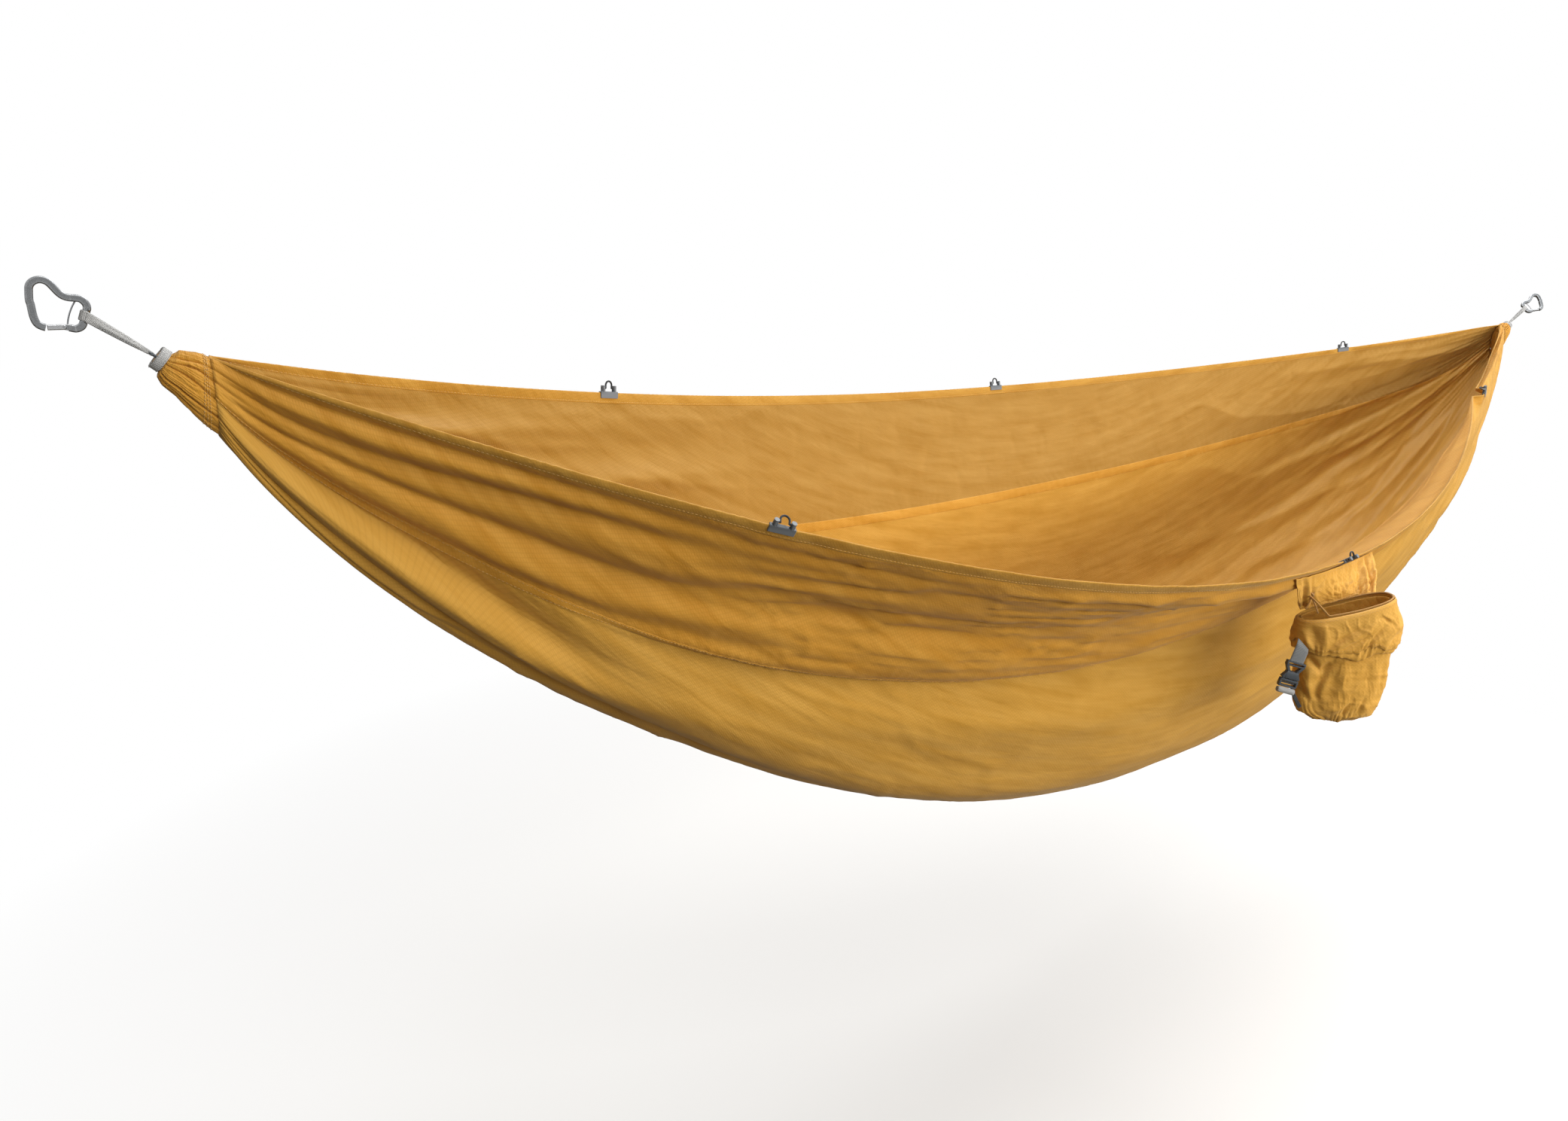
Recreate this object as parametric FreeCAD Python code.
import FreeCAD, Part
import os
import math

# Camping hammock, hung between its two carabiners.
# Frame while modelling: X along the hammock, +Z up, -Y towards the side that carries the stuff sack,
# chord between the two gathered ends at z = 0. Millimetres. At the end everything is moved so that
# the origin sits at the centre of the bottom of the bounding box.

V = FreeCAD.Vector
PI = math.pi

# ---------------------------------------------------------------- driving dimensions
HALF_SPAN = 1300.0        # half of the chord between the gathered ends
# section lines of the hung cloth: (A, q, a, B, r, b)
#   y = A s^q (1 + a w), z = -B s^r (1 + b w), s = sin(pi t), w = 2t - 1
LINE_NEAR_EDGE = (-348.0, 1.040, -0.208, 288.0, 1.002, -0.147)
LINE_NEAR_SEAM = (-227.0, 0.941, 0.341, 382.0, 0.751, -0.571)
LINE_BOTTOM = (-5.0, 0.898, 0.003, 699.0, 0.676, -0.050)
LINE_FAR_SEAM = (251.0, 0.872, 0.0, 300.0, 0.421, -0.181)
LINE_FAR_EDGE = (291.0, 1.033, 0.002, 111.0, 0.803, -0.121)
BELLY_POWER = 0.781       # roundness of the belly section
FAR_SEAM_MAX = 0.78       # far seam never hangs lower than this share of the belly depth
PANEL_END_X = 1272.0      # where the open panels end and the gathered channel starts
CLOTH_THK = 1.2           # stand-in thickness of the cloth
HEM_THK = 2.6
SEAM_THK = 2.2
HEM_SHARE = 0.10          # share of the side panel's width taken by the rolled hem
SEAM_SHARE_SIDE = 0.05
SEAM_SHARE_MAIN = 0.009
STRIP_GAP = 3.8           # clear space between neighbouring strips of cloth

WRAP_C = (1309.0, 0.0, -10.0)   # centre of the webbing wrap (right end; left end is mirrored)
WRAP_TILT = 40.0                # its axis above horizontal, degrees
WRAP_A, WRAP_B = 10.4, 9.0      # outer half axes
NECK_A, NECK_B = 8.5, 7.0       # gathered neck inside the wrap
WRAP_W = 8.0
PIVOT_OUT = 8.5                 # sling pivot beyond the wrap centre, along the wrap axis

SLING_L = 50.7                  # pivot to carabiner bar
SLING_W = 8.4
BAR_R = 2.8                     # carabiner bar radius, and half width of the forged section
BAR_T = 3.0                     # half thickness of the forged section
EYE_CLEAR = 0.06                # running clearance of both webbing eyes
BAR_TILT = 16.0                 # lean of the carabiner's small-end bar, degrees
BASKET_C = (83.4, 0.8)          # centre of the basket's corner arc (u, w)
BASKET_R = 5.0                  # radius of the rope seat in the basket
GATE_H = (58.4, -15.6)          # gate pin (u, w)
GATE_L = 10.7
GATE_DIR = (0.80, -0.60)
PIN_R = 0.8

E1_LEFT = (-0.813, 0.0, 0.582)
E1_RIGHT = (0.7244, -0.2420, 0.6455)
NORMAL_RIGHT = (0.9419, 0.3359, -0.0061)  # side of the right carabiner that its flat turns to

LOOP_T = (0.183, 0.501, 0.840)  # stations of the gear loops along each hem
LOOP_LEN = 28.0
LOOP_BASE_H = 8.0
LOOP_BASE_B = 5.4
POST_R = 2.8
POST_H = 7.0
POST_X = 9.0
BAIL_R = 1.1
BAIL_ARM = 4.8
BAIL_RISE = 3.5
NEAR_FOLD = 70.0                # the near edge's cord loops rest folded inward by this much, degrees

SACK_YAW = 40.0                 # the sack faces this many degrees from -Y towards -X
SACK_C = (-26.0, -372.7)        # plan position of the pouch
SACK_TOP = -352.0               # level of the mouth
SACK_A, SACK_B, SACK_H = 57.0, 24.0, 145.0
SACK_SKIN = 1.5
CUFF_DROP = 47.0
MOUTH_Z = 8.0                   # mouth level at the middle of the pouch, above SACK_TOP
MOUTH_TILT = 0.28               # rise of the mouth per unit across, higher towards +x of the sack
FLAP_T0, FLAP_T1 = 0.455, 0.535

os.makedirs("parts", exist_ok=True)
NODES = {}


def add(name, shape):
    NODES[name] = shape


# ---------------------------------------------------------------- cloth lines
def line(c, t):
    A, q, a, B, r, b = c
    s = max(math.sin(PI * t), 1e-9)
    w = 2 * t - 1
    return (HALF_SPAN * w, A * s ** q * (1 + a * w), -B * s ** r * (1 + b * w))


def far_seam(t):
    x, y, z = line(LINE_FAR_SEAM, t)
    zb = line(LINE_BOTTOM, t)[2] * FAR_SEAM_MAX
    k = 12.0
    m = max(z, zb)
    z = m + k * math.log(math.exp((z - m) / k) + math.exp((zb - m) / k)) if abs(z - zb) < 200 else m
    z = min(z, line(LINE_FAR_EDGE, t)[2] * 1.05 - 6)
    return (x, y, z)


def side_near(t, v):
    a = line(LINE_NEAR_EDGE, t)
    b = line(LINE_NEAR_SEAM, t)
    return V(*[a[i] + (b[i] - a[i]) * v for i in range(3)])


def side_far(t, v):
    a = far_seam(t)
    b = line(LINE_FAR_EDGE, t)
    return V(*[a[i] + (b[i] - a[i]) * v for i in range(3)])


_cache = {}


def main_section(t):
    key = round(t, 9)
    if key in _cache:
        return _cache[key]
    n = line(LINE_NEAR_SEAM, t)
    b = line(LINE_BOTTOM, t)
    f = far_seam(t)
    pts = []
    N = 60
    for k in range(-N, N + 1):
        v = k / N
        e = n if v < 0 else f
        s = abs(math.sin(v * PI / 2)) ** BELLY_POWER
        y = b[1] + (e[1] - b[1]) * s
        z = e[2] + (b[2] - e[2]) * math.cos(v * PI / 2)
        pts.append(V(b[0], y, z))
    acc = [0.0]
    for i in range(1, len(pts)):
        acc.append(acc[-1] + (pts[i] - pts[i - 1]).Length)
    _cache[key] = (pts, acc)
    return _cache[key]


def main_panel(t, s):
    pts, acc = main_section(t)
    d = s * acc[-1]
    for i in range(1, len(acc)):
        if d <= acc[i] + 1e-9:
            f = (d - acc[i - 1]) / max(acc[i] - acc[i - 1], 1e-9)
            return pts[i - 1] + (pts[i] - pts[i - 1]) * f
    return pts[-1]


T0 = (HALF_SPAN - PANEL_END_X) / (2 * HALF_SPAN)
T1 = 1 - T0


def tgrid(n, t0=T0, t1=T1):
    return [t0 + (t1 - t0) * (1 - math.cos(PI * i / (n - 1))) / 2 for i in range(n)]


def sheet(fn, ts, ss, thk, shift=0.0, out=None, dirs=None):
    """Thin closed solid around the surface fn(t, s); thickness thk, moved out by shift.
    ss is a list, or a function of t that gives one; dirs(t) fixes one thickness direction per station."""
    ss_at = ss if callable(ss) else (lambda t: ss)
    P = [[fn(t, s) for s in ss_at(t)] for t in ts]
    nt, ns = len(ts), len(P[0])
    N = []
    for i in range(nt):
        row = []
        for j in range(ns):
            a = P[min(i + 1, nt - 1)][j] - P[max(i - 1, 0)][j]
            b = P[i][min(j + 1, ns - 1)] - P[i][max(j - 1, 0)]
            n = a.cross(b) if dirs is None else dirs(ts[i])
            n.normalize()
            row.append(n)
        N.append(row)
    ref = out if out is not None else V(0, 0, -1)
    if N[nt // 2][ns // 2].dot(ref) < 0:
        N = [[n * -1 for n in r] for r in N]
    top = [[P[i][j] + N[i][j] * (shift + thk / 2) for j in range(ns)] for i in range(nt)]
    bot = [[P[i][j] + N[i][j] * (shift - thk / 2) for j in range(ns)] for i in range(nt)]
    return grid_solid(top, bot)


def grid_solid(top, bot):
    so = Part.BSplineSurface()
    so.interpolate(top)
    si = Part.BSplineSurface()
    si.interpolate(bot)
    ft, fb = so.toShape(), si.toShape()
    faces = [ft, fb]

    def mid(e):
        return e.valueAt((e.FirstParameter + e.LastParameter) / 2)

    for e in ft.Edges:
        m = mid(e)
        g = min(fb.Edges, key=lambda q: (mid(q) - m).Length)
        cand = []
        for o in (0, 1, 2):
            try:
                r = Part.makeRuledSurface(e, g, o)
                cand.append((sum(q.Length for q in r.Edges), o, r))
            except Exception:
                pass
        faces.append(min(cand, key=lambda q: q[:2])[2])
    flat = []
    for f in faces:
        flat += f.Faces
    for tol in (1e-4, 1e-3, 1e-5, 1e-2, 5e-2):
        sh = Part.makeShell([f.copy() for f in flat])
        sh.sewShape(tol)
        sh = sh.Shells[0] if sh.ShapeType != "Shell" else sh
        if sh.isClosed():
            break
    else:
        print("warning: open sheet", len(sh.Edges), len(flat))
        for e in sh.Edges:
            n = sum(1 for f in sh.Faces for q in f.Edges if q.isSame(e))
            if n < 2:
                print("   free edge", round(e.Length, 3), [round(c, 2) for c in mid(e)])
    sol = Part.makeSolid(sh)
    if sol.Volume < 0:
        sol.reverse()
    return sol


def lin(a, b, n):
    return [a + (b - a) * i / (n - 1) for i in range(n)]


# ---------------------------------------------------------------- three cloth panels
def side_width(fn, t):
    return (fn(t, 1.0) - fn(t, 0.0)).Length


def girth(t):
    return main_section(t)[1][-1]


def belly_s(t):
    e = SEAM_SHARE_MAIN + STRIP_GAP / girth(t)
    return lin(e, 1 - e, 21)


def near_s(t):
    e = STRIP_GAP / side_width(side_near, t)
    return lin(HEM_SHARE + e, 1 - SEAM_SHARE_SIDE - e, 5)


def far_s(t):
    e = STRIP_GAP / side_width(side_far, t)
    return lin(SEAM_SHARE_SIDE + e, 1 - HEM_SHARE - e, 5)


add("main_panel", sheet(main_panel, tgrid(45), belly_s, CLOTH_THK))
add("near_side_panel", sheet(side_near, tgrid(45), near_s, CLOTH_THK, out=V(0, -0.6, -0.8)))
add("far_side_panel", sheet(side_far, tgrid(45), far_s, CLOTH_THK, out=V(0, 1, 0)))
# rolled hems along both long edges
add("near_hem", sheet(side_near, tgrid(45), lin(0.0, HEM_SHARE, 3), HEM_THK, out=V(0, -0.6, -0.8)))
add("far_hem", sheet(side_far, tgrid(45), lin(1 - HEM_SHARE, 1.0, 3), HEM_THK, out=V(0, 1, 0)))


# felled seams between the belly panel and the side panels: a strip folded over the corner
def seam_near(t, s):
    if s < 0.5:
        return side_near(t, 1 - SEAM_SHARE_SIDE * (1 - 2 * s))
    return main_panel(t, SEAM_SHARE_MAIN * (2 * s - 1))


def seam_far(t, s):
    if s < 0.5:
        return main_panel(t, 1 - SEAM_SHARE_MAIN * (1 - 2 * s))
    return side_far(t, SEAM_SHARE_SIDE * (2 * s - 1))


def strip_dir(fn):
    """One thickness direction per station: square to the run of the seam and to its width."""
    def d(t):
        e = 0.003
        t0, t1 = max(t - e, 0.006), min(t + e, 0.994)
        run = fn(t1, 0.5) - fn(t0, 0.5)
        run.normalize()
        a = fn(t, 0.5) - fn(t, 0.0)
        b = fn(t, 1.0) - fn(t, 0.5)
        a.normalize()
        b.normalize()
        return run.cross(a) + run.cross(b)
    return d


STRIP_S = [0.0, 0.25, 0.5, 0.75, 1.0]
add("near_seam", sheet(seam_near, tgrid(45), STRIP_S, SEAM_THK, out=V(0, -0.8, -0.6), dirs=strip_dir(seam_near)))
add("far_seam", sheet(seam_far, tgrid(45), STRIP_S, SEAM_THK, out=V(0, 1, -0.3), dirs=strip_dir(seam_far)))


# ---------------------------------------------------------------- gathered ends
def ring_wire(c, n, a, b, m=16):
    """Closed smooth oval about c in the plane with normal n; half axis a near vertical, b along Y."""
    n = V(*n)
    n.normalize()
    y = V(0, 1, 0)
    up = n.cross(y)
    if up.z < 0:
        up = up * -1
    pts = [V(*c) + up * (a * math.cos(2 * PI * k / m)) + y * (b * math.sin(2 * PI * k / m)) for k in range(m)]
    cv = Part.BSplineCurve()
    cv.interpolate(pts, PeriodicFlag=True)
    return Part.Wire(cv.toShape())


def poly_ring(c, n, a, b, m=28):
    n = V(*n)
    n.normalize()
    y = V(0, 1, 0)
    up = n.cross(y)
    if up.z < 0:
        up = up * -1
    pts = [V(*c) + up * (a * math.cos(2 * PI * k / m)) + y * (b * math.sin(2 * PI * k / m)) for k in range(m)]
    return Part.makePolygon(pts + [pts[0]])


def unit(v):
    v = V(*v)
    v.normalize()
    return v


def frame_matrix(o, e1, e2, e3):
    m = FreeCAD.Matrix()
    m.A11, m.A21, m.A31 = e1.x, e1.y, e1.z
    m.A12, m.A22, m.A32 = e2.x, e2.y, e2.z
    m.A13, m.A23, m.A33 = e3.x, e3.y, e3.z
    m.A14, m.A24, m.A34 = o.x, o.y, o.z
    return m


def end_frame(side):
    """Local frame of the sling and carabiner: u along the sling, v across the flat, w up in the flat."""
    sg = -1 if side == "left" else 1
    n = V(sg * math.cos(math.radians(WRAP_TILT)), 0, math.sin(math.radians(WRAP_TILT)))
    o = V(sg * WRAP_C[0], WRAP_C[1], WRAP_C[2]) + n * PIVOT_OUT
    if side == "left":
        e1 = unit(E1_LEFT)
        e3 = V(-e1.z * -1, 0, -e1.x)
        e3 = unit((e1.z, 0, -e1.x))
        e2 = e3.cross(e1)
    else:
        e1 = unit(E1_RIGHT)
        d = unit(NORMAL_RIGHT)
        e2 = d - e1 * d.dot(e1)
        e2.normalize()
        e3 = e1.cross(e2)
    return o, e1, e2, e3, n


def cyl(p, d, r, h):
    return Part.makeCylinder(r, h, V(*p), V(*d))


def strip_edges(path, hw):
    """Offset a planar path (list of curves in the u-w plane) to one side; returns edges."""
    edges = []
    for kind, data in path:
        if kind == "arc":
            (cu, cw), R, a0, a1 = data
            r = R + hw
            p = [V(cu + r * math.cos(a), 0, cw + r * math.sin(a)) for a in (a0, (a0 + a1) / 2, a1)]
            edges.append(Part.Arc(*p).toShape())
        else:
            cv = data
            f, l = cv.FirstParameter, cv.LastParameter
            pts, tan = [], []
            n = 26
            for i in range(n):
                u = f + (l - f) * i / (n - 1)
                p = cv.value(u)
                d = V(*cv.tangent(u)[0]) if not isinstance(cv.tangent(u)[0], V) else cv.tangent(u)[0]
                d = V(d.x, 0, d.z)
                d.normalize()
                nn = V(d.z, 0, -d.x)        # right-hand side of the travel direction
                pts.append(p + nn * hw)
                tan.append(d)
            e = Part.BSplineCurve()
            e.interpolate(pts, InitialTangent=tan[0], FinalTangent=tan[-1])
            edges.append(e.toShape())
    return edges


def strip_face(path, hw):
    a = strip_edges(path, hw)
    b = strip_edges(path, -hw)
    s0 = Part.makeLine(a[0].valueAt(a[0].FirstParameter), b[0].valueAt(b[0].FirstParameter))
    s1 = Part.makeLine(a[-1].valueAt(a[-1].LastParameter), b[-1].valueAt(b[-1].LastParameter))
    w = Part.Wire(Part.__sortEdges__(a + [s1] + b + [s0]))
    return Part.Face(w)


def spline(pts, t0=None, t1=None):
    c = Part.BSplineCurve()
    P = [V(p[0], 0, p[1]) for p in pts]
    if t0 is not None and t1 is not None:
        c.interpolate(P, InitialTangent=V(t0[0], 0, t0[1]), FinalTangent=V(t1[0], 0, t1[1]))
    else:
        c.interpolate(P)
    return c


def bar_solid(path, hw, ht, fil):
    """Extruded strip along the path, its four long edges rounded; one block per curve, then joined."""
    blocks = []
    for seg in path:
        s = strip_face([seg], hw).extrude(V(0, 2 * ht, 0))
        s.translate(V(0, -ht, 0))
        rim = [e for e in s.Edges if abs(e.BoundBox.YMax - e.BoundBox.YMin) < 1e-3 and e.Length > 2 * hw + 0.2]
        try:
            g = s.makeFillet(fil, rim)
            if g.isValid() and g.Volume > 0:
                s = g
            else:
                print("note: rounding gave a bad block")
        except Exception as ex:
            print("note: bar edges left sharp", seg[0], len(rim), ex)
        blocks.append(s)
    r = blocks[0].fuse(blocks[1:]) if len(blocks) > 1 else blocks[0]
    return r


# carabiner centreline, u-w plane, from the nose round the basket to the small end
A0, A1 = math.radians(-28), math.radians(105)
RC = BASKET_R + BAR_R
p_a0 = (BASKET_C[0] + RC * math.cos(A0), BASKET_C[1] + RC * math.sin(A0))
p_a1 = (BASKET_C[0] + RC * math.cos(A1), BASKET_C[1] + RC * math.sin(A1))
t_a0 = (-math.sin(A0), math.cos(A0))
t_a1 = (-math.sin(A1), math.cos(A1))
bt = math.radians(BAR_TILT)
BAR_AX = V(math.sin(bt), 0, math.cos(bt))
BAR_C = V(SLING_L, 0, 0)
bar_top = BAR_C + BAR_AX * 5.3
bar_bot = BAR_C - BAR_AX * 5.3
NOSE = (67.8, -22.6)
cv_nose = spline([NOSE, (72.6, -23.4), (78.2, -19.6), (84.2, -12.2), p_a0], (0.95, -0.31), t_a0)
cv_spine = spline([p_a1, (75.8, 6.4), (69.8, 5.2), (64.6, 7.2), (59.8, 9.7), (55.2, 8.9), (bar_top.x, bar_top.z)], t_a1,
                  (-BAR_AX.x, -BAR_AX.z))
cv_heel = spline([(bar_bot.x, bar_bot.z), (48.9, -8.4), (50.9, -12.0), (55.2, -14.0)], (-BAR_AX.x, -BAR_AX.z), (0.92, -0.39))


def carabiner_parts():
    main = [("curve", cv_nose), ("arc", (BASKET_C, RC, A0, A1)), ("curve", cv_spine)]
    body = bar_solid(main, BAR_R, BAR_T, 0.9)
    heel = bar_solid([("curve", cv_heel)], BAR_R, BAR_T, 0.9)
    bar = Part.makeCylinder(BAR_R, 12.0, BAR_C - BAR_AX * 6.0, BAR_AX)
    # forged groove along both flats of the spine and basket
    gr = strip_face([("arc", (BASKET_C, RC, A0 + 0.05, A1))], 1.1)
    sp = strip_face([("curve", cv_spine)], 1.1)
    ns = strip_face([("curve", cv_nose)], 1.1)
    cuts = []
    for f in (gr, sp, ns):
        for y0 in (BAR_T - 0.8, -BAR_T - 0.2):
            c = f.extrude(V(0, 1.0, 0))
            c.translate(V(0, y0, 0))
            cuts.append(c)
    keep = Part.makeBox(200, 40, 200, V(-100, -20, -21.2))       # groove stops short of the nose
    for c in cuts:
        body = body.cut(c.common(keep))
    # hinge tang for the gate
    H = V(GATE_H[0], 0, GATE_H[1])
    back = V(53.4, 0, -13.4)
    d = H - back
    L = d.Length
    d.normalize()
    n = V(d.z, 0, -d.x)
    w = [back + n * 2.1 + V(0, -1.0, 0), H + n * 2.1 + V(0, -1.0, 0), H - n * 2.1 + V(0, -1.0, 0), back - n * 2.1 + V(0, -1.0, 0)]
    tang = Part.Face(Part.makePolygon(w + [w[0]])).extrude(V(0, 2.0, 0))
    tang = tang.fuse(Part.makeCylinder(2.1, 2.0, H + V(0, -1.0, 0), V(0, 1, 0)))
    body = body.fuse([heel, bar, tang])
    body = body.cut(Part.makeCylinder(PIN_R + 0.02, 10, H + V(0, -5, 0), V(0, 1, 0)))
    # keeper wire across the small end
    k0, k1, k2 = V(57.2, 0, -12.4), V(60.4, 0, -3.0), V(61.6, 0, 7.4)
    kc = Part.Arc(k0, k1, k2).toShape()
    tan = kc.tangentAt(kc.FirstParameter)
    prof = Part.Wire(Part.makeCircle(0.6, kc.valueAt(kc.FirstParameter), tan))
    keeper = Part.Wire(kc).makePipeShell([prof], True, False)
    prof2 = Part.Wire(Part.makeCircle(0.64, kc.valueAt(kc.FirstParameter), tan))
    kcut = Part.Wire(kc).makePipeShell([prof2], True, False)
    # small pockets a little deeper than the wire
    e0 = Part.makeCylinder(0.64, 0.3, k0, tan * -1)
    e1 = Part.makeCylinder(0.64, 0.3, k2, kc.tangentAt(kc.LastParameter))
    body = body.cut(kcut.fuse([e0, e1]))
    # gate: bar with a forked heel, bored for its spring
    gd = unit((GATE_DIR[0], 0, GATE_DIR[1]))
    gn = V(-gd.z, 0, gd.x)
    gw, gt = 2.1, 2.3
    c = [H + gn * gw, H + gd * GATE_L + gn * gw, H + gd * GATE_L - gn * gw, H - gn * gw]
    c = [q + V(0, -gt, 0) for q in c]
    gate = Part.Face(Part.makePolygon(c + [c[0]])).extrude(V(0, 2 * gt, 0))
    gate = gate.fuse(Part.makeCylinder(gw, 2 * gt, H + V(0, -gt, 0), V(0, 1, 0))).removeSplitter()
    try:
        ed = [e for e in gate.Edges if abs(e.BoundBox.YMax - e.BoundBox.YMin) < 1e-3]
        g2 = gate.makeFillet(0.7, ed)
        if g2.isValid():
            gate = g2
    except Exception:
        print("note: gate edges left sharp")
    slot = Part.makeCylinder(3.3, 2.3, H + V(0, -1.15, 0), V(0, 1, 0))
    gate = gate.cut(slot)
    gate = gate.cut(Part.makeCylinder(PIN_R + 0.05, 10, H + V(0, -5, 0), V(0, 1, 0)))
    gate = gate.cut(Part.makeCylinder(1.15, 6.2, H + gd * 3.2, gd))
    pin = Part.makeCylinder(PIN_R, 2 * gt, H + V(0, -gt, 0), V(0, 1, 0))
    # gate spring: a small compression coil in the gate's bore
    hel = Part.makeHelix(0.9, 4.5, 0.75)
    pr = Part.Wire(Part.makeCircle(0.17, V(0.75, 0, 0), V(0, 1, 0.2)))
    coil = Part.Wire(hel).makePipeShell([pr], True, True)
    rot = FreeCAD.Rotation(V(0, 0, 1), gd)
    coil.Placement = FreeCAD.Placement(H + gd * 3.9, rot)
    return {"body": body, "keeper": keeper, "gate": gate, "gate_pin": pin, "gate_spring": coil}


def sling_shape():
    eye = Part.makeCylinder(BAR_R + EYE_CLEAR + 1.6, SLING_W, BAR_C - BAR_AX * (SLING_W / 2), BAR_AX)
    r2 = 1.3 + EYE_CLEAR
    peye = Part.makeCylinder(2.9, 3.4, V(0, -1.7, 0), V(0, 1, 0))

    def rect(c, ax, hw, ht):
        p = [c + ax * hw + V(0, ht, 0), c - ax * hw + V(0, ht, 0), c - ax * hw - V(0, ht, 0), c + ax * hw - V(0, ht, 0)]
        return Part.makePolygon(p + [p[0]])

    z = V(0, 0, 1)
    strap = Part.makeLoft([rect(V(1.6, 0, 0), z, 1.9, 1.7), rect(V(14, 0, 0), z, 2.6, 2.0),
                           rect(V(34, 0, 0), BAR_AX, 3.9, 3.2), rect(BAR_C, BAR_AX, SLING_W / 2, 4.2)], True, True)
    s = strap.fuse([eye, peye])
    s = s.cut(Part.makeCylinder(BAR_R + EYE_CLEAR, 30, BAR_C - BAR_AX * 15, BAR_AX))
    s = s.cut(Part.makeCylinder(r2, 10, V(0, -5, 0), V(0, 1, 0)))
    # opening between the two plies just behind the bar
    return s


def cord_shape(extra=0.0):
    """Bight of the cord that runs through the end channel: two legs and a cross bar."""
    r = 1.3 + extra
    legs = [Part.makeCylinder(r, 8.6 + extra, V(-8.6 - extra, s * 3.3, 0), V(1, 0, 0)) for s in (-1, 1)]
    bar = Part.makeCylinder(r, 6.6, V(0, -3.3, 0), V(0, 1, 0))
    balls = [Part.makeSphere(r, V(0, s * 3.3, 0)) for s in (-1, 1)]
    return bar.fuse(legs + balls)


def place(shape, m):
    s = shape.copy()
    s.Placement = FreeCAD.Placement(m).multiply(s.Placement)
    return s


cara = carabiner_parts()
sling = sling_shape()
cord = cord_shape()
cord_cut = cord_shape(0.08)
for side in ("left", "right"):
    o, e1, e2, e3, n = end_frame(side)
    M = frame_matrix(o, e1, e2, e3)
    sg = -1 if side == "left" else 1
    wc = V(sg * WRAP_C[0], 0, WRAP_C[2])
    nn = (n.x, 0, n.z)
    # neck through the wrap, then the fanned-out channel
    secs = [(wc + n * 4.6, nn, NECK_A, NECK_B), (wc - n * 4.5, nn, NECK_A, NECK_B)]
    neck = Part.makeLoft([ring_wire(*s) for s in secs], True, True)
    fan = [(wc - n * 4.4, nn, NECK_A - 0.1, NECK_B - 0.1),
           (V(sg * 1303.0, 0, -18.5), (sg * 0.86, 0, 0.50), 16.5, 9.0),
           (V(sg * 1287.0, 0, -32.5), (sg * 0.97, 0, 0.23), 26.2, 10.0),
           (V(sg * 1273.4, 0, -42.0), (sg * 1.0, 0, 0.0), 32.0, 10.5)]
    plug = Part.makeLoft([poly_ring(*s) for s in fan], True, True)
    if plug.Volume < 0:
        plug.reverse()
    if neck.Volume < 0:
        neck.reverse()
    chan = neck.fuse(plug)
    chan = chan.cut(place(cord_cut, M))
    add(side + "_end_channel", chan)
    # webbing wrap
    wr = Part.makeLoft([ring_wire(wc + n * (WRAP_W / 2 * s), nn, WRAP_A, WRAP_B) for s in (-1, 1)], True, True)
    hole = Part.makeLoft([ring_wire(wc + n * (WRAP_W * s), nn, NECK_A + 0.15, NECK_B + 0.15) for s in (-1, 1)], True, True)
    add(side + "_gather_wrap", wr.cut(hole).cut(plug.common(wr)) if plug.common(wr).Volume > 1e-6 else wr.cut(hole))
    # stitched band round the channel's mouth
    o1 = [(V(sg * 1281.0, 0, -37.4), (sg * 0.99, 0, 0.14)), (V(sg * 1276.0, 0, -40.6), (sg * 1.0, 0, 0.0))]
    outer = Part.makeLoft([ring_wire(c, k, a, b) for (c, k), a, b in zip(o1, (31.0, 32.6), (11.6, 11.9))], True, True)
    band = outer.cut(Part.makeLoft([ring_wire(c, k, a, b) for (c, k), a, b in
                                    (((V(sg * 1290.0, 0, -31.0), (sg * 0.97, 0, 0.23)), 27.4, 10.75),
                                     ((V(sg * 1281.0, 0, -37.4), (sg * 0.99, 0, 0.14)), 30.2, 10.8),
                                     ((V(sg * 1276.0, 0, -40.6), (sg * 1.0, 0, 0.0)), 32.0, 11.1),
                                     ((V(sg * 1270.0, 0, -42.0), (sg * 1.0, 0, 0.0)), 33.0, 11.2))], True, False))
    add(side + "_channel_stitching", band)
    add(side + "_channel_cord", place(cord, M))
    add(side + "_sling", place(sling, M))
    for k, s in cara.items():
        add(side + "_carabiner_" + k, place(s, M))


# ---------------------------------------------------------------- gear loops on both hems
def loop_frame(which, t):
    if which == "near":
        f = lambda tt, v: side_near(tt, v)
    else:
        f = lambda tt, v: side_far(tt, 1 - v)
    p = f(t, 0.0)
    T = f(t + 0.004, 0.0) - f(t - 0.004, 0.0)
    T.normalize()
    D = f(t, 0.1) - p
    D = D - T * D.dot(T)
    D.normalize()
    U = D * -1
    B = T.cross(U)
    return p, T, U, B


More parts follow.
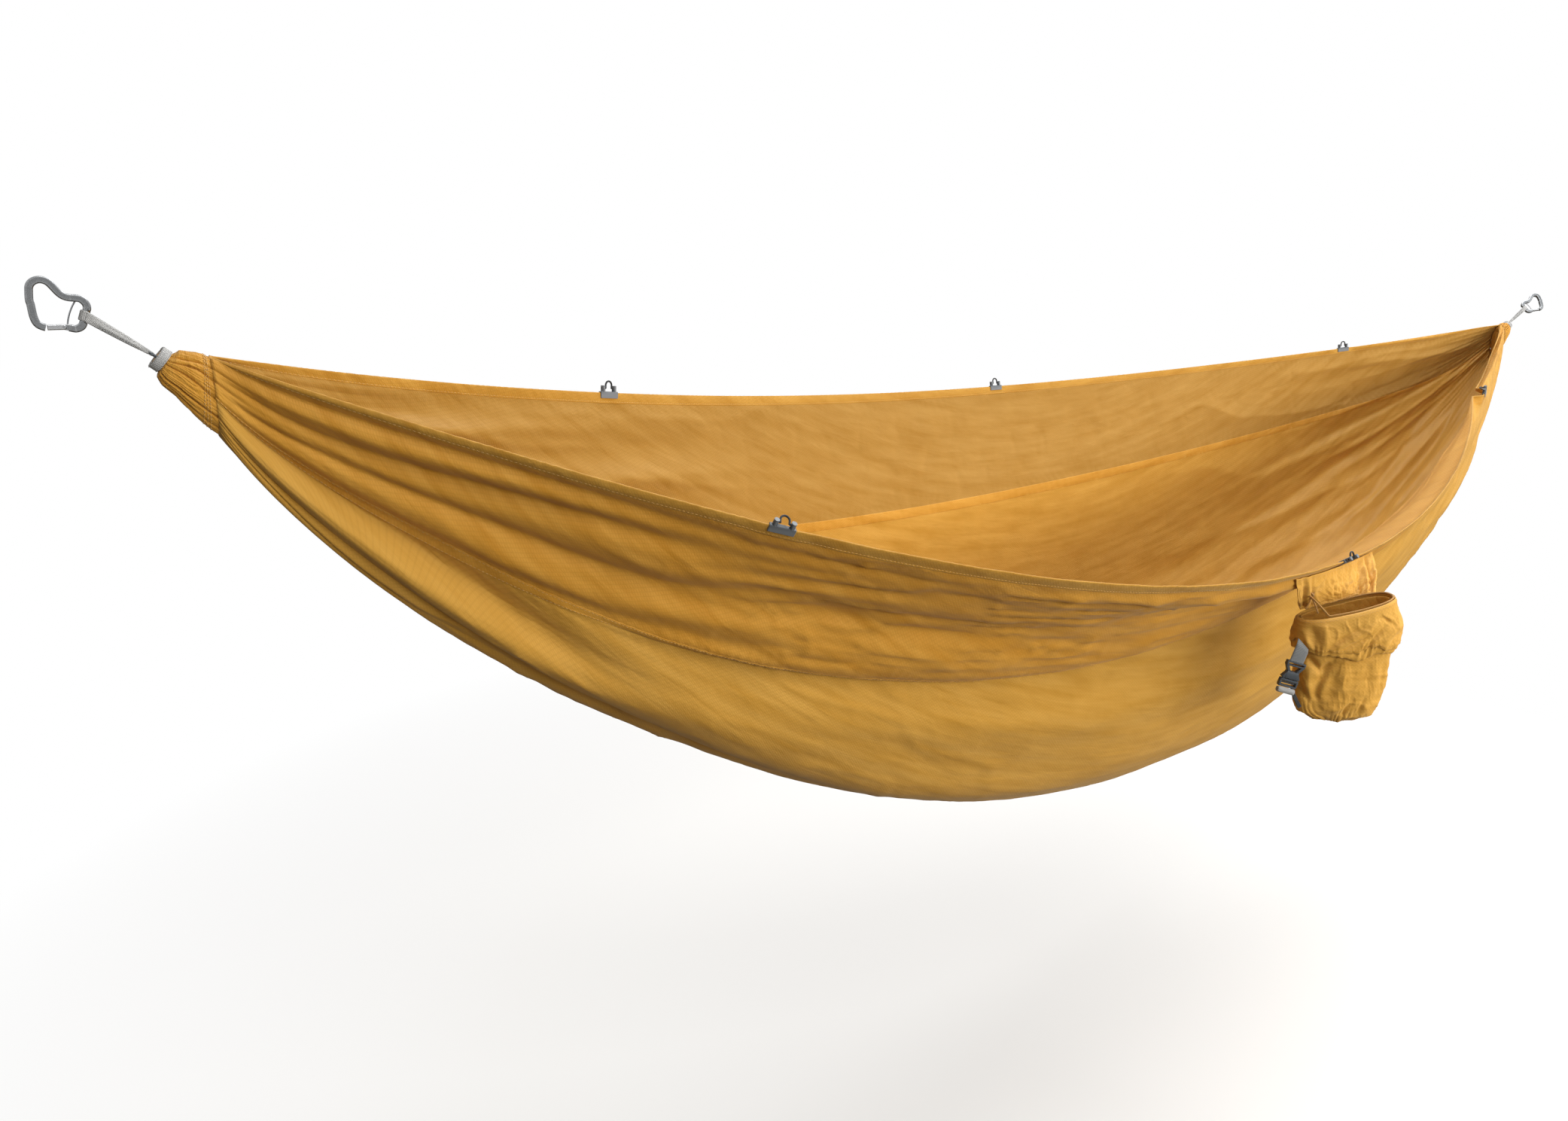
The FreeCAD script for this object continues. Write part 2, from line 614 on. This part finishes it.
def loop_parts():
    # local: x along the hem, y across, z up from the hem's edge
    base = Part.makeBox(LOOP_LEN, LOOP_BASE_B, LOOP_BASE_H, V(-LOOP_LEN / 2, -LOOP_BASE_B / 2, -LOOP_BASE_H + 2.6))
    try:
        base = base.makeFillet(1.0, [e for e in base.Edges if e.BoundBox.ZMin > 2.0 or
                                     abs(e.BoundBox.ZMax - e.BoundBox.ZMin) > 5])
    except Exception:
        pass
    slot = Part.makeBox(LOOP_LEN + 2, HEM_THK + 0.5, 20, V(-LOOP_LEN / 2 - 1, -(HEM_THK + 0.5) / 2, -19.7))
    base = base.cut(slot)
    z0 = 2.6
    zp = z0 + 4.0
    for s in (-1, 1):
        post = Part.makeCylinder(POST_R, POST_H + 0.6, V(s * POST_X, 0, z0 - 0.6), V(0, 0, 1))
        base = base.fuse(post)
    hole = Part.makeCylinder(BAIL_R + 0.06, 40, V(-20, 0, zp), V(1, 0, 0))
    base = base.cut(hole).removeSplitter()
    # bail: two pins in the posts, two arms and a half-round arch
    arms = []
    for s in (-1, 1):
        arms.append(Part.makeCylinder(BAIL_R, POST_X + 2.4 - BAIL_ARM, V(s * BAIL_ARM, 0, zp), V(s, 0, 0)))
        arms.append(Part.makeCylinder(BAIL_R, BAIL_RISE, V(s * BAIL_ARM, 0, zp), V(0, 0, 1)))
        arms.append(Part.makeSphere(BAIL_R, V(s * BAIL_ARM, 0, zp)))
    tor = Part.makeTorus(BAIL_ARM, BAIL_R, V(0, 0, zp + BAIL_RISE), V(0, 1, 0), 0, 360, 360)
    half = tor.common(Part.makeBox(40, 40, 40, V(-20, -20, zp + BAIL_RISE)))
    bail = half.fuse(arms).removeSplitter()
    return base, bail


lb, ll = loop_parts()
for which in ("near", "far"):
    for i, t in enumerate(LOOP_T):
        p, T, U, B = loop_frame(which, t)
        # local y axis = U x T so that the frame stays right-handed
        Y = U.cross(T)
        M = frame_matrix(p, T, Y, U)
        add("%s_gear_loop_base_%d" % (which, i + 1), place(lb, M))
        bail = ll.copy()
        if which == "near":
            bail.rotate(V(0, 0, 6.6), V(1, 0, 0), -NEAR_FOLD)
        add("%s_gear_loop_cord_%d" % (which, i + 1), place(bail, M))

# ---------------------------------------------------------------- stuff sack
yaw = math.radians(SACK_YAW)
XS = V(math.cos(yaw), -math.sin(yaw), 0)
NS = V(-math.sin(yaw), -math.cos(yaw), 0)
ZS = V(0, 0, 1)
SO = V(SACK_C[0], SACK_C[1], SACK_TOP)
MS = frame_matrix(SO, XS, NS * -1, ZS)     # local x across, y into the hammock, z up


def oval(a, b, z, m=20, p=2.6, tilt=0.0):
    pts = []
    for k in range(m):
        th = 2 * PI * k / m
        c, s = math.cos(th), math.sin(th)
        x = a * math.copysign(abs(c) ** (2 / p), c)
        pts.append(V(x, b * math.copysign(abs(s) ** (2 / p), s), z + tilt * x))
    cv = Part.BSplineCurve()
    cv.interpolate(pts, PeriodicFlag=True)
    return Part.Wire(cv.toShape())


def bag(a, b, h, off, top):
    lv = [(top, 1.0, 0.94), (-h * 0.3, 1.02, 1.05), (-h * 0.65, 0.99, 1.08), (-h * 0.86, 0.88, 0.86), (-h, 0.60, 0.45)]
    return Part.makeLoft([oval(a * fa - off, b * fb - off, z + (off if i == len(lv) - 1 else 0), tilt=MOUTH_TILT if i == 0 else 0.0)
                          for i, (z, fa, fb) in enumerate(lv)], True, False)


pouch = bag(SACK_A, SACK_B, SACK_H, 0.0, MOUTH_Z).cut(bag(SACK_A, SACK_B, SACK_H, SACK_SKIN, MOUTH_Z + 5.0))
add("sack_pouch", place(pouch, MS))
TL = MOUTH_TILT
cuff = Part.makeLoft([oval(SACK_A + 6.0, SACK_B + 6.2, MOUTH_Z + 2.0, tilt=TL), oval(SACK_A + 8.5, SACK_B + 8.5, -CUFF_DROP * 0.42, tilt=TL * 0.4),
                      oval(SACK_A + 7.2, SACK_B + 7.6, -CUFF_DROP)], True, False)
cuff_in = Part.makeLoft([oval(SACK_A + 2.2, SACK_B + 2.4, MOUTH_Z + 8.0, tilt=TL), oval(SACK_A + 2.8, SACK_B + 3.0, -CUFF_DROP * 0.42, tilt=TL * 0.4),
                         oval(SACK_A + 3.0, SACK_B + 3.2, -CUFF_DROP - 6)], True, False)
add("sack_cuff", place(cuff.cut(cuff_in), MS))
# drawcord lying in the mouth
dc = oval(SACK_A + 1.0, SACK_B + 0.6, MOUTH_Z + 4.6, tilt=MOUTH_TILT)
e = dc.Edges[0]
prof = Part.Wire(Part.makeCircle(1.5, e.valueAt(e.FirstParameter), e.tangentAt(e.FirstParameter)))
add("sack_drawcord", place(Part.Wire(e).makePipeShell([prof], True, False), MS))


# gathered flap that joins the pouch to the near hem
def hem_under(t):
    a = side_near(t, 0.06)
    Tt = side_near(t + 0.004, 0.06) - side_near(t - 0.004, 0.06)
    Dd = side_near(t, 0.1) - side_near(t, 0.0)
    n = Tt.cross(Dd)
    n.normalize()
    if n.z > 0:
        n = n * -1
    return a + n * (HEM_THK / 2 + 1.4)


def flap_fn(s, v):
    t = FLAP_T0 + (FLAP_T1 - FLAP_T0) * s
    a = hem_under(t)
    xl = (s - 0.5) * 2 * (SACK_A - 6)
    loc = V(xl, SACK_B + 1.0, MOUTH_Z + 8.6 + MOUTH_TILT * xl)
    b = frame_matrix(SO, XS, NS * -1, ZS).multVec(loc)
    q = a + (b - a) * v
    q.z -= 6.0 * math.sin(PI * v)
    return q


flap = sheet(flap_fn, lin(0.0, 1.0, 9), lin(0.0, 1.0, 5), 1.2, out=V(0, -1, 0))
add("sack_back_flap", flap)

# side strap with its buckle, in the pouch's frame, left of the sack
SA = math.radians(14.0)                      # lean of the buckle line from vertical
BD = V(-math.sin(SA), 0, -math.cos(SA))      # down along the strap
BW = V(math.cos(SA), 0, -math.sin(SA))       # across the strap, towards the sack
B0 = V(-62.5, -27.5, -37.0)                  # where the strap leaves the cuff


def slab(c, l, w, t, d=BD, ww=BW):
    """Box centred across, starting at c and running l along d, w wide, t thick (local y)."""
    p = [c - ww * (w / 2), c + ww * (w / 2), c + ww * (w / 2) + d * l, c - ww * (w / 2) + d * l]
    p = [q + V(0, -t / 2, 0) for q in p]
    return Part.Face(Part.makePolygon(p + [p[0]])).extrude(V(0, t, 0))


strap_up = slab(B0, 22.0, 18.0, 1.4)
# socket: flat box with a mouth at the lower end, a slot for the webbing and a pointed window
S0 = B0 + BD * 22.4
socket = slab(S0, 24.0, 24.0, 8.0)
try:
    socket = socket.makeFillet(1.2, [e for e in socket.Edges])
except Exception:
    pass
socket = socket.cut(slab(S0 + BD * 7.0, 30.0, 18.6, 4.6))
tri = [S0 + BD * 9.5 - BW * 5.0, S0 + BD * 9.5 + BW * 5.0, S0 + BD * 18.0]
tri = [q + V(0, -8, 0) for q in tri]
socket = socket.cut(Part.Face(Part.makePolygon(tri + [tri[0]])).extrude(V(0, 16, 0)))
socket = socket.cut(slab(S0 + BD * 2.2, 1.8, 19.0, 20.0))
# plug: bar with two springy prongs and a centre guide
P0 = S0 + BD * 24.6
plug = slab(P0, 11.0, 24.0, 7.0)
try:
    plug = plug.makeFillet(1.2, [e for e in plug.Edges])
except Exception:
    pass
plug = plug.cut(slab(P0 + BD * 5.6, 2.2, 19.0, 20.0))
up = BD * -1
for s in (-1, 1):
    plug = plug.fuse(slab(P0 + BD * 1.5 + BW * (s * 7.3), 15.0, 3.0, 3.6, up))
    plug = plug.fuse(slab(P0 + BD * 1.5 - BD * 11.0 + BW * (s * 7.0), 4.0, 4.0, 4.0, up))
plug = plug.fuse(slab(P0 + BD * 1.5, 9.0, 2.4, 3.4, up)).removeSplitter()
# rolled spare webbing held on the plug, and the strap down to the sack's foot
R0 = P0 + BD * 15.6 + V(0, -2.0, 0)
roll = Part.makeCylinder(4.2, 22.0, R0 - BW * 11.0, BW)
roll = roll.cut(Part.makeCylinder(1.0, 30.0, R0 - BW * 15.0, BW))
# lower strap: a thin band from the plug to the sack's foot
L0 = P0 + BD * 14.2 + BW * 8.5 + V(0, 3.4, 0)
L1 = V(-SACK_A * 0.87, -15.0, -SACK_H * 0.87)
ld = L1 - L0
ll_len = ld.Length
ld.normalize()
lw = ld.cross(V(0, 1, 0))
lw.normalize()
low = slab(L0, ll_len, 5.0, 1.2, ld, lw)
add("sack_strap_upper", place(strap_up, MS))
add("buckle_socket", place(socket, MS))
add("buckle_plug", place(plug, MS))
add("webbing_tail_roll", place(roll, MS))
add("sack_strap_lower", place(low, MS))

# ---------------------------------------------------------------- move the origin, write the files
names = list(NODES)
bb = None
for k in names:
    if not NODES[k].Solids:
        print("warning: empty", k)
        continue
    b = NODES[k].optimalBoundingBox(True, False)
    if bb is None:
        bb = FreeCAD.BoundBox(b)
    else:
        bb.add(b)
SH = V(-(bb.XMin + bb.XMax) / 2, -(bb.YMin + bb.YMax) / 2, -bb.ZMin)
for k in names:
    s = NODES[k].copy()
    s.translate(SH)
    if not s.Solids:
        continue
    bad = [q for q in s.Solids if not q.isValid() or q.Volume <= 0]
    if bad:
        print("warning: bad solid in", k, [q.Volume for q in bad])
    out = s.Solids[0] if len(s.Solids) == 1 else Part.makeCompound(s.Solids)
    out.exportStep("parts/" + k + ".step")
print("origin shift %.6f %.6f %.6f" % (SH.x, SH.y, SH.z))
print("box %.2f %.2f %.2f" % (bb.XLength, bb.YLength, bb.ZLength))
print("nodes", len(names))
